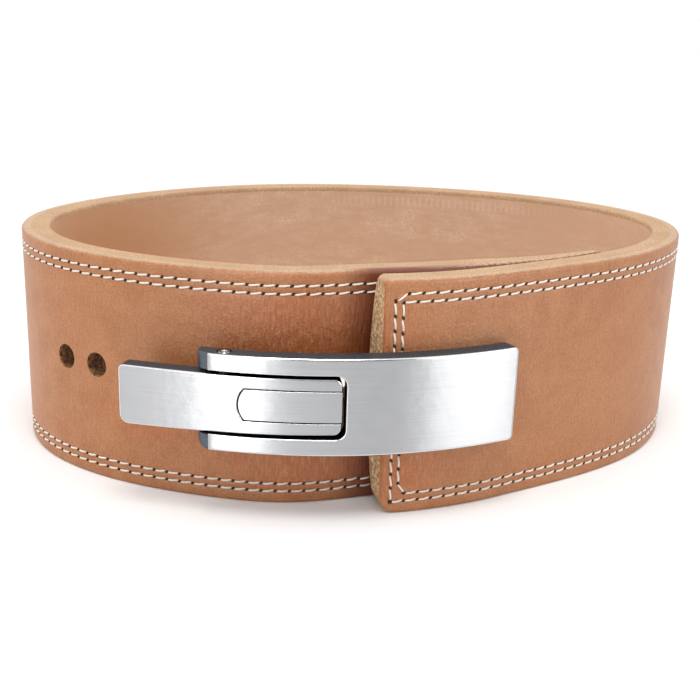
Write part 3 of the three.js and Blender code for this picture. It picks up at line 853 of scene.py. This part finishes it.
# %% Outlines seen from the front
def outline(corners, insets, arc_points=6):
    """Outline through corners of along, height and radius, anticlockwise, each side moved in by its inset."""
    corners = np.asarray(corners, float)
    spot, radius = corners[:, :2], corners[:, 2]
    way = np.roll(spot, -1, axis=0) - spot
    way /= np.linalg.norm(way, axis=1)[:, None]
    normal = np.stack([-way[:, 1], way[:, 0]], 1)
    made = []
    for i in range(len(spot)):
        h = i - 1
        a, b = way[h], way[i]
        start = spot[i] + normal[h] * insets[h]
        other = spot[i] + normal[i] * insets[i]
        cross = a[0] * b[1] - a[1] * b[0]
        gap = other - start
        vertex = start + a * ((gap[0] * b[1] - gap[1] * b[0]) / cross)
        if radius[i] == 0:
            made.append(vertex)
            continue
        turn = math.atan2(cross, a @ b)
        mean = (insets[h] + insets[i]) / 2
        r = max(radius[i] - math.copysign(mean, turn), 0.05)
        first = vertex - a * r * math.tan(abs(turn) / 2)
        centre = first + normal[h] * math.copysign(r, turn)
        for k in range(arc_points + 1):
            angle = turn * k / arc_points
            arm = first - centre
            made.append(centre + [arm[0] * math.cos(angle) - arm[1] * math.sin(angle),
                                  arm[0] * math.sin(angle) + arm[1] * math.cos(angle)])
    return np.array(made)


# %% Bars bent along a path
RIM = 0.35
BEVEL_STEPS = 5
BACK_CHAMFER = 0.3
NOSE_SIDE_SHARE = 0.8
BRUSHED, SIDE, IN_GAP, POLISHED = 0, 1, 2, 3
FACE_REACH, EDGE_REACH = 0.95, 0.5


def bent_bar(name, corners, bevels, thickness, path, start_depth, cuts, in_gap, nose=(0.0, 0.0, 0.0)):
    """Flat bar with rounded front edges, bent along a path.

    bevels holds the rounding of each side, and in_gap tells whether a side's place lies in a gap. A nose
    rounds the front face off: it starts at a place, has a length and drops by a depth.
    """
    bevels = np.asarray(bevels, float)
    deepest = bevels.max()
    rings = [(bevels + RIM, 0.0)]
    for angle in np.radians(np.linspace(0.0, 90.0, BEVEL_STEPS + 1)):
        rings.append((bevels * (1 - math.sin(angle)), deepest * (1 - math.cos(angle))))
    rings += [(bevels * 0, thickness - BACK_CHAMFER), (bevels * 0 + BACK_CHAMFER, thickness)]
    flat = bmesh.new()
    loops = [[flat.verts.new((x, y, depth)) for x, y in outline(corners, insets)] for insets, depth in rings]
    for front_loop, back_loop in zip(loops, loops[1:]):
        for i in range(len(front_loop)):
            j = (i + 1) % len(front_loop)
            flat.faces.new((front_loop[i], front_loop[j], back_loop[j], back_loop[i]))
    flat.faces.new(loops[0])
    flat.faces.new(loops[-1])
    bmesh.ops.remove_doubles(flat, verts=flat.verts, dist=1e-4)
    bmesh.ops.recalc_face_normals(flat, faces=flat.faces)
    for cut_at in cuts:
        bmesh.ops.bisect_plane(
            flat, geom=[*flat.verts, *flat.edges, *flat.faces], dist=1e-4,
            plane_co=(float(cut_at), 0, 0), plane_no=(1, 0, 0))
    nose_from, nose_length, nose_depth = nose
    layer = flat.loops.layers.uv.new("UVMap")
    for face in flat.faces:
        face.smooth = True
        middle = face.calc_center_median()
        in_nose = nose_length and middle.x < nose_from + nose_length * NOSE_SIDE_SHARE
        facing = abs(face.normal.z)
        slot = BRUSHED if facing > FACE_REACH else POLISHED if facing > EDGE_REACH else SIDE
        if in_nose:
            slot = SIDE
        # Side faces inside a gap take the near-black steel: painted shade.
        if slot == SIDE and in_gap(middle.x, middle.y):
            slot = IN_GAP
        face.material_index = slot
        for loop in face.loops:
            x, y, depth = loop.vert.co
            loop[layer].uv = (x * MM, (y + depth) * MM)
    for vertex in flat.verts:
        x, y, depth = vertex.co
        if nose_length:
            share = max(0.0, 1 - (x - nose_from) / nose_length)
            drop = nose_depth * (1 - math.sqrt(max(0.0, 1 - share ** 2)))
            depth = drop + depth * (thickness - drop) / thickness
        vertex.co = Vector(beside(path, x, start_depth + depth, y))
    mesh = bpy.data.meshes.new(name)
    flat.to_mesh(mesh)
    flat.free()
    for finish in (face_steel, side_steel, gap_steel, edge_steel):
        mesh.materials.append(finish)
    made = in_scene(name, mesh)
    sharpen(made, 40.0)
    return made


# %% Plate
PLATE_WIDTH = 41.0
FORK = 77.0
SLOT_HEIGHT = 26.4
plate_low, plate_high = BUCKLE_HEIGHT - PLATE_WIDTH / 2, BUCKLE_HEIGHT + PLATE_WIDTH / 2
slot_low, slot_high = BUCKLE_HEIGHT - SLOT_HEIGHT / 2, BUCKLE_HEIGHT + SLOT_HEIGHT / 2
plate_corners = [
    # along, height, radius
    (-FORK, plate_low, 5.5), (PLATE_OVER_FLAP, plate_low, 2.5), (PLATE_OVER_FLAP, plate_high, 2.5),
    (-FORK, plate_high, 1.0), (-FORK, slot_high, 0.6), (-SLOT_SETBACK, slot_high, 4.0),
    (-SLOT_SETBACK, slot_low, 4.0), (-FORK, slot_low, 0.6),
]
plate_bevels = [1.2, 1.2, 1.2, 0.4, 0.5, 0.5, 0.5, 0.4]
NOSE = (-FORK, 7.5, 5.6)
SLOT_MARGIN = 0.6


def in_slot(along, height):
    across = abs(height - BUCKLE_HEIGHT)
    return -FORK + 2.0 < along < -SLOT_SETBACK + SLOT_MARGIN and across < SLOT_HEIGHT / 2 + SLOT_MARGIN


nose_cuts = -FORK + np.arange(0.4, 8.0, 0.5)
plate_cuts = [*nose_cuts, *np.arange(-68.0, 58.0, 2.0)]
plate = bent_bar(
    "steel_plate", plate_corners, plate_bevels, PLATE_DEPTH, plate_path, 0.0, plate_cuts, in_slot, NOSE)
print("plate faces:", len(plate.data.polygons))

# %% [markdown]
# The lever follows the plate's curve up to the pin in the fork and is nearly straight beyond it, where a
# thumb gets behind it. The hook bar fills a slot in the lever; a thin dark line shows between the two.

# %% Lever
FORK_PIN = -FORK + 11.5
HANDLE = 44.0
HANDLE_RADIUS = 500.0
IN_FORK = -6.0
LEVER_SIDE_GAP = 1.3
LEVER_TAPER = 1.6
BAR_HEIGHT = 12.8
BAR_LENGTH = 41.5
BAR_NOSE = 9.4
BAR_GAP = 0.4
pin_point, pin_inward = plate_path(FORK_PIN)
pin_angle = FLAP_END_ANGLE + FORK_PIN / PLATE_RADIUS
inner_part = arc_path(SEAT_CENTRE, PLATE_RADIUS, pin_angle)
handle_part = arc_path(pin_point + pin_inward * HANDLE_RADIUS, HANDLE_RADIUS, pin_angle)


def lever_path(lengths):
    lengths = np.asarray(lengths, float)
    inner, handle = inner_part(lengths), handle_part(lengths)
    beyond_pin = (lengths < 0)[..., None]
    return tuple(np.where(beyond_pin, h, i) for h, i in zip(handle, inner))


def bar_end(grow):
    """Points of the hook bar's arched left end, from top to bottom, grown by a gap."""
    nose, half = BAR_NOSE + grow, BAR_HEIGHT / 2 + grow
    reach = math.asin(half / nose)
    centre = lever_inner - BAR_LENGTH + BAR_NOSE
    return [(centre - nose * math.cos(a), BUCKLE_HEIGHT + nose * math.sin(a), 0.0)
            for a in np.linspace(reach, -reach, 15)]


lever_inner = lever_end - FORK_PIN
lever_high = slot_high - LEVER_SIDE_GAP
lever_low = slot_low + LEVER_SIDE_GAP
slot_half = BAR_HEIGHT / 2 + BAR_GAP
slot_end = bar_end(BAR_GAP)
lever_corners = [
    (-HANDLE, lever_low - LEVER_TAPER, 4.0), (lever_inner, lever_low, 3.2),
    (lever_inner, BUCKLE_HEIGHT - slot_half, 0.3), *reversed(slot_end),
    (lever_inner, BUCKLE_HEIGHT + slot_half, 0.3), (lever_inner, lever_high, 3.2), (-HANDLE, lever_high, 2.5),
]
lever_bevels = [0.9, 0.6, *[0.2] * (len(slot_end) + 1), 0.6, 0.9, 1.0]
lever_cuts = np.arange(-HANDLE + 3.0, lever_inner - 2.0, 2.0)
lever = bent_bar(
    "steel_lever", lever_corners, lever_bevels, LEVER_DEPTH, lever_path, LEVER_RECESS, lever_cuts,
    lambda along, height: along > IN_FORK)
print("lever faces:", len(lever.data.polygons))

# %% Hook bar and its pegs
PEG_RADIUS = 3.8
PEG_IN_LEATHER = 10.0
PEG_CHAMFER = 0.6
bar_corners = [
    (lever_inner, BUCKLE_HEIGHT - BAR_HEIGHT / 2, 0.4), (lever_inner, BUCKLE_HEIGHT + BAR_HEIGHT / 2, 0.4),
    *bar_end(0.0)]
bar_cuts = np.arange(lever_inner - BAR_LENGTH + 6.0, lever_inner - 1.0, 2.0)
hook_bar = bent_bar(
    "steel_hook_bar", bar_corners, [0.2] * len(bar_corners), LEVER_DEPTH, lever_path, LEVER_RECESS, bar_cuts,
    lambda along, height: True)
to_plate = PLATE_RADIUS - LEVER_RECESS - LEVER_DEPTH / 2
pegs = []
for length in first_peg - HOLE_PITCH * np.arange(2):
    spot, inward = strap_path(length)
    radial = spot - SEAT_CENTRE
    along = radial @ inward
    rise = -along - math.sqrt(along ** 2 - radial @ radial + to_plate ** 2)
    peg_profile = [
        (0.0, rise), (PEG_RADIUS, rise), (PEG_RADIUS, PEG_IN_LEATHER - PEG_CHAMFER),
        (PEG_RADIUS - PEG_CHAMFER, PEG_IN_LEATHER), (0.0, PEG_IN_LEATHER)]
    pegs.append(turned(peg_profile, beside(strap_path, length, 0.0, HOLE_ROW_HEIGHT), (*inward, 0.0), 32))
peg_solids = joined("pegs", pegs)
peg_solids.data.materials.append(side_steel)
apply_boolean(hook_bar, peg_solids, "UNION")
sharpen(hook_bar, 40.0)

# %% [markdown]
# The pin that the lever turns on ends flush with the plate's upper side, where its turned end shows as a
# small ring. It is turned from a profile, with a chamfer and a shallow centre hole, and the plate gets the
# hole that it sits in.

# %% Fork pin
PIN_RADIUS = 2.75
pin_depth = LEVER_RECESS + LEVER_DEPTH / 2
half_pin = PLATE_WIDTH / 2 - GAP
pin_profile = [
    # radius, height
    (0.0, -half_pin), (PIN_RADIUS - 0.4, -half_pin), (PIN_RADIUS, -half_pin + 0.4),
    (PIN_RADIUS, half_pin - 0.1), (PIN_RADIUS - 0.4, half_pin + 0.3), (1.5, half_pin + 0.3),
    (1.1, half_pin - 0.2), (0.0, half_pin - 0.5),
]
pin_centre = beside(plate_path, FORK_PIN, pin_depth, BUCKLE_HEIGHT)
pin = joined("steel_fork_pin", [turned(pin_profile, pin_centre, (0.0, 0.0, 1.0))])
for finish in (pin_steel, gap_steel):
    pin.data.materials.append(finish)
# The shank inside the fork's gaps takes the near-black steel: painted shade.
for face in pin.data.polygons:
    face.material_index = int(abs(face.center.z / MM - BUCKLE_HEIGHT) < half_pin - 1.0)
sharpen(pin, 30.0)
bore_radius = PIN_RADIUS + GAP
bore = joined("pin_bore", [turned(
    [(0.0, -PLATE_WIDTH), (bore_radius, -PLATE_WIDTH), (bore_radius, PLATE_WIDTH), (0.0, PLATE_WIDTH)],
    pin_centre, (0.0, 0.0, 1.0))])
# The bore's wall takes the near-black steel too: painted shade.
bore.data.materials.append(gap_steel)
apply_boolean(plate, bore, "DIFFERENCE")
sharpen(plate, 40.0)
print("pin length (mm):", round(2 * half_pin, 1))

# %% [markdown]
# Each fine piece takes the place of a node of the CAD model and rides the belt's one body. The hook pin and
# the two screws stay as they are in the CAD model and only get a finish.

# %% Where the steel pieces belong
for piece, node, slot in (
    (plate, "base_plate", "brushed_steel"), (lever, "lever", "brushed_steel"),
    (hook_bar, "hook_bar", "brushed_steel"), (pin, "fork_pin", "pin_steel"),
):
    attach(piece, "root")
    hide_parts(node)
for name in ("hook_pin", "screw_1", "screw_2"):
    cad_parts[name].material_slots[0].material = pin_steel

# %% [markdown]
# ## Stitching
# Two rows of white waxed thread run along both long edges and down the flap's end. A machine lays a stitch
# every 6 mm: the thread comes up through a slit, lies on the leather and dives into the next slit. Rows of
# hundreds of the same thing are work for Geometry Nodes. The rows go in as plain lines on the leather; the
# tree divides them into stitches, puts an arched thread on each division and, between two, a dark lens of
# painted shade for the slit.

# %% Rows of stitching
TOP, BOTTOM = STRAP_WIDTH - np.array(ROW_FROM_EDGE), np.array(ROW_FROM_EDGE)
OUTER_ROW, INNER_ROW = ROW_FROM_END
OUTER_TURN_ALONG, OUTER_TURN_HEIGHT = 9.6, 91.6
INNER_TURN_ALONG, INNER_TURN_HEIGHT = 10.2, 13.4
ROW_STEP = 1.5
ABOVE_LEATHER = 0.05
last = strap_length - 6.0
runs = [
    # from (along, height), to (along, height)
    ((OUTER_TURN_ALONG, TOP[0]), (last, TOP[0])),
    ((OUTER_TURN_ALONG, TOP[0]), (OUTER_ROW, OUTER_TURN_HEIGHT)),
    ((OUTER_ROW, OUTER_TURN_HEIGHT), (OUTER_ROW, BOTTOM[0])),
    ((OUTER_ROW, BOTTOM[0]), (last, BOTTOM[0])),
    ((INNER_ROW, TOP[1]), (last, TOP[1])),
    ((INNER_ROW, TOP[1]), (INNER_ROW, INNER_TURN_HEIGHT)),
    ((INNER_ROW, INNER_TURN_HEIGHT), (INNER_TURN_ALONG, BOTTOM[1])),
    ((INNER_TURN_ALONG, BOTTOM[1]), (last, BOTTOM[1])),
]
row_points, row_edges, row_outward = [], [], []
for start, end in runs:
    start, end = np.array(start), np.array(end)
    count = max(2, int(np.ceil(np.linalg.norm(end - start) / ROW_STEP)) + 1)
    lengths, heights = (start + (end - start) * np.linspace(0, 1, count)[:, None]).T
    depth = strap_shape(lengths)[2] + stitch_sink(lengths, heights) - ABOVE_LEATHER
    row_edges += [(len(row_points) + k, len(row_points) + k + 1) for k in range(count - 1)]
    lengths = skewed(lengths, heights)
    row_points += [tuple(p) for p in beside(strap_path, lengths, depth, heights)]
    row_outward += [(-x, -y, 0.0) for x, y in strap_path(lengths)[1]]
rows_mesh = bpy.data.meshes.new("stitches")
rows_mesh.from_pydata(row_points, row_edges, [])
outward = rows_mesh.attributes.new("outward", "FLOAT_VECTOR", "POINT")
outward.data.foreach_set("vector", np.array(row_outward, np.float32).ravel())
stitches = in_scene("stitches", rows_mesh)
print("rows:", len(runs), "points:", len(row_points))

# %% Thread and slit
thread, tree, shader, place = principled("waxed_white_thread", {"Base Color": "#EFEAE0", "Roughness": 0.6})
rough_surface(tree, shader, place, 0.5, 0.1, 0.4)
# Painted shade: a flat dark lens on the leather stands for each needle slit.
slit, tree, shader, place = principled("needle_slit_painted_shade", {"Roughness": 0.9})
feed(shader, {"Base Color": mottled(tree, place, 0.8, "#120B07", "#2E1C12")})

# %% Inputs of the tree that lays the stitches
stitch_sizes = {
    # millimetres, but for the angles in degrees
    "Pitch": 6.0, "Thread length": 5.0, "Thread radius": 0.40, "Arch": 0.65,
    "Slant": 7.0, "Slant spread": 3.0, "Slit length": 2.6, "Slit width": 1.3, "Slit slant": 55.0,
}
sewing = bpy.data.node_groups.new("stitches_along_rows", "GeometryNodeTree")
sewing.is_modifier = True
identifiers = {}
for name, way, kind in (
    ("Rows", "INPUT", "Geometry"), *[(size_name, "INPUT", "Float") for size_name in stitch_sizes],
    ("Seed", "INPUT", "Int"), ("Stitches", "OUTPUT", "Geometry"),
):
    socket = sewing.interface.new_socket(name, in_out=way, socket_type="NodeSocket" + kind)
    identifiers[name] = socket.identifier
given = add(sewing, "NodeGroupInput").outputs
metres = {}
for name, source, factor in (
    ("pitch", "Pitch", 1.0), ("start", "Thread length", -0.5), ("end", "Thread length", 0.5),
    ("radius", "Thread radius", 1.0), ("under", "Thread radius", -1.2), ("pull", "Arch", 2.0),
    ("half slit", "Slit length", 0.5), ("half slit width", "Slit width", 0.5),
):
    metres[name] = add(sewing, "Math", {0: given[source], 1: MM * factor}, operation="MULTIPLY")
print("inputs of the tree:", list(identifiers))


# %% Directions of the stitches
def turned_by(faced, name, spread_name=None):
    """A rotation turned about its outward direction by an input in degrees, with its random spread."""
    angle = given[name]
    if spread_name:
        least = add(sewing, "Math", {0: given[spread_name], 1: -1.0}, operation="MULTIPLY")
        chance = add(sewing, "FunctionNodeRandomValue", {
            2: least, 3: given[spread_name], 8: given["Seed"]}, data_type="FLOAT").outputs[1]
        angle = add(sewing, "Math", {0: angle, 1: chance}, operation="ADD")
    radians = add(sewing, "Math", {0: angle}, operation="RADIANS")
    turn = add(sewing, "FunctionNodeEulerToRotation", {0: add(sewing, "CombineXYZ", {"Z": radians})})
    return add(sewing, "FunctionNodeRotateRotation", {0: faced, 1: turn}, rotation_space="LOCAL")


line = add(sewing, "GeometryNodeMeshToCurve", {0: given["Rows"]})
even = add(sewing, "GeometryNodeResampleCurve", {"Curve": line, "Length": metres["pitch"]}, mode="LENGTH")
way = add(sewing, "GeometryNodeStoreNamedAttribute", {
    "Geometry": even, "Name": "along", "Value": add(sewing, "GeometryNodeInputTangent"),
}, data_type="FLOAT_VECTOR", domain="POINT")
wire = add(sewing, "GeometryNodeCurveToMesh", {"Curve": way})
along_row, away = [
    add(sewing, "GeometryNodeInputNamedAttribute", {"Name": name}, data_type="FLOAT_VECTOR").outputs[0]
    for name in ("along", "outward")]
faced = add(sewing, "FunctionNodeAlignRotationToVector", {"Vector": along_row}, axis="X")
faced = add(sewing, "FunctionNodeAlignRotationToVector", {
    "Rotation": faced, "Vector": away}, axis="Z", pivot_axis="X")

# %% One thread and one slit
arch = add(sewing, "GeometryNodeCurveQuadraticBezier", {
    "Resolution": 7,
    "Start": add(sewing, "CombineXYZ", {"X": metres["start"], "Z": metres["under"]}),
    "Middle": add(sewing, "CombineXYZ", {"Z": metres["pull"]}),
    "End": add(sewing, "CombineXYZ", {"X": metres["end"], "Z": metres["under"]}),
})
round_thread = add(sewing, "GeometryNodeCurvePrimitiveCircle", {"Resolution": 7, "Radius": metres["radius"]})
strand = add(sewing, "GeometryNodeCurveToMesh", {
    "Curve": arch, "Profile Curve": round_thread.outputs[0], "Fill Caps": True})
lens_size = add(sewing, "CombineXYZ", {
    "X": metres["half slit"], "Y": metres["half slit width"], "Z": 0.2 * MM})
lens = add(sewing, "GeometryNodeMeshUVSphere", {"Segments": 8, "Rings": 5, "Radius": 1.0})
lens = add(sewing, "GeometryNodeTransform", {"Geometry": lens.outputs[0], "Scale": lens_size})

# %% [markdown]
# The wire's edges are the stitches and its corners are the needle's slits. Both turn into points, and each
# point gets its shape.

# %% Lay them along the rows
both = add(sewing, "GeometryNodeJoinGeometry")
for shape, places, turn, finish in (
    (strand, "EDGES", turned_by(faced, "Slant", "Slant spread"), thread),
    (lens, "VERTICES", turned_by(faced, "Slit slant"), slit),
):
    smooth = add(sewing, "GeometryNodeSetShadeSmooth", {"Geometry": shape, "Shade Smooth": True})
    spots = add(sewing, "GeometryNodeMeshToPoints", {"Mesh": wire}, mode=places)
    laid = add(sewing, "GeometryNodeInstanceOnPoints", {
        "Points": spots, "Instance": smooth, "Rotation": turn})
    laid = add(sewing, "GeometryNodeRealizeInstances", {"Geometry": laid})
    laid = add(sewing, "GeometryNodeSetMaterial", {"Geometry": laid, "Material": finish})
    feed(both, {0: laid})
add(sewing, "NodeGroupOutput", {0: both})

# %% Sew
sewn = stitches.modifiers.new("stitches", "NODES")
sewn.node_group = sewing
for name, value in {**stitch_sizes, "Seed": 3}.items():
    sewn[identifiers[name]] = value
apply_modifiers(stitches)
print("stitch faces:", len(stitches.data.polygons))
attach(stitches, "root")

# %% Size
size = {"cad": cad_box, "visual": [list(corner_point) for corner_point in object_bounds()]}
